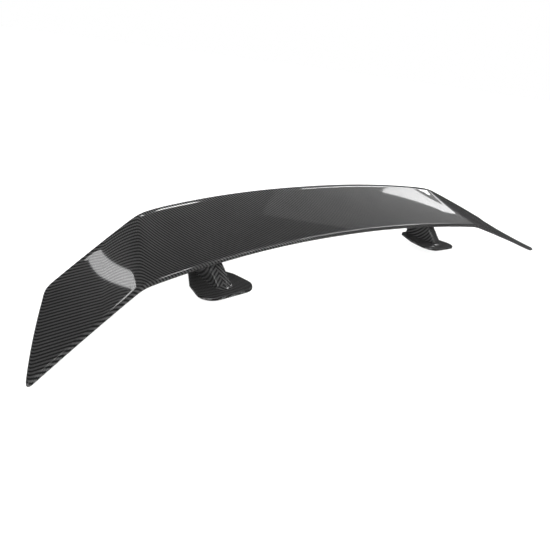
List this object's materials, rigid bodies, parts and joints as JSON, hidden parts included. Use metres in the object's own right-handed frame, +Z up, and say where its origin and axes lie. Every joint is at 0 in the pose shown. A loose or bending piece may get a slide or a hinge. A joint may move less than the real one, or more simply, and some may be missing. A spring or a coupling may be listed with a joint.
{
  "type": "racing rear wing",
  "caption": "Carbon rear wing for a coupe boot lid: one swept blade with drooped tips, carried on raked legs with bolt-down feet.",
  "frame": {"origin": "middle of the four tapped holes in the feet, on the plane that the feet are bolted down to", "axes": "+X along the span, +Y towards the back of the car, +Z up; the leading edge faces -Y"},
  "size_m": [1.4066, 0.2855, 0.1581],
  "materials": {
    "carbon": "clear-coated twill carbon laminate, high gloss",
    "carbon_bare": "bare cured carbon laminate, inside the blade",
    "foam": "closed-cell structural foam",
    "alloy": "machined",
    "steel": "zinc-plated studding",
    "gasket": "closed-cell sealing foam rubber"
  },
  "bodies": {
    "root": {"upper_skin": "carbon", "lower_skin": "carbon", "nose_core_centre": "foam", "nose_core_left": "foam", "nose_core_right": "foam", "tail_core_centre": "foam", "tail_core_left": "foam", "tail_core_right": "foam", "tip_core_left": "foam", "tip_core_right": "foam", "hard_point_fillers_left": "foam", "hard_point_fillers_right": "foam", "shear_web_centre": "carbon_bare", "shear_web_left": "carbon_bare", "shear_web_right": "carbon_bare", "hard_point_left": "alloy", "hard_point_right": "alloy", "leg_outer_shell_left": "carbon", "leg_outer_shell_right": "carbon", "leg_inner_shell_left": "carbon", "leg_inner_shell_right": "carbon", "leg_core_left": "foam", "leg_core_right": "foam", "head_block_left": "alloy", "head_block_right": "alloy", "base_block_left": "alloy", "base_block_right": "alloy", "leg_studs_left": "steel", "leg_studs_right": "steel", "foot_pad_left": "gasket", "foot_pad_right": "gasket"}
  },
  "joints": []
}
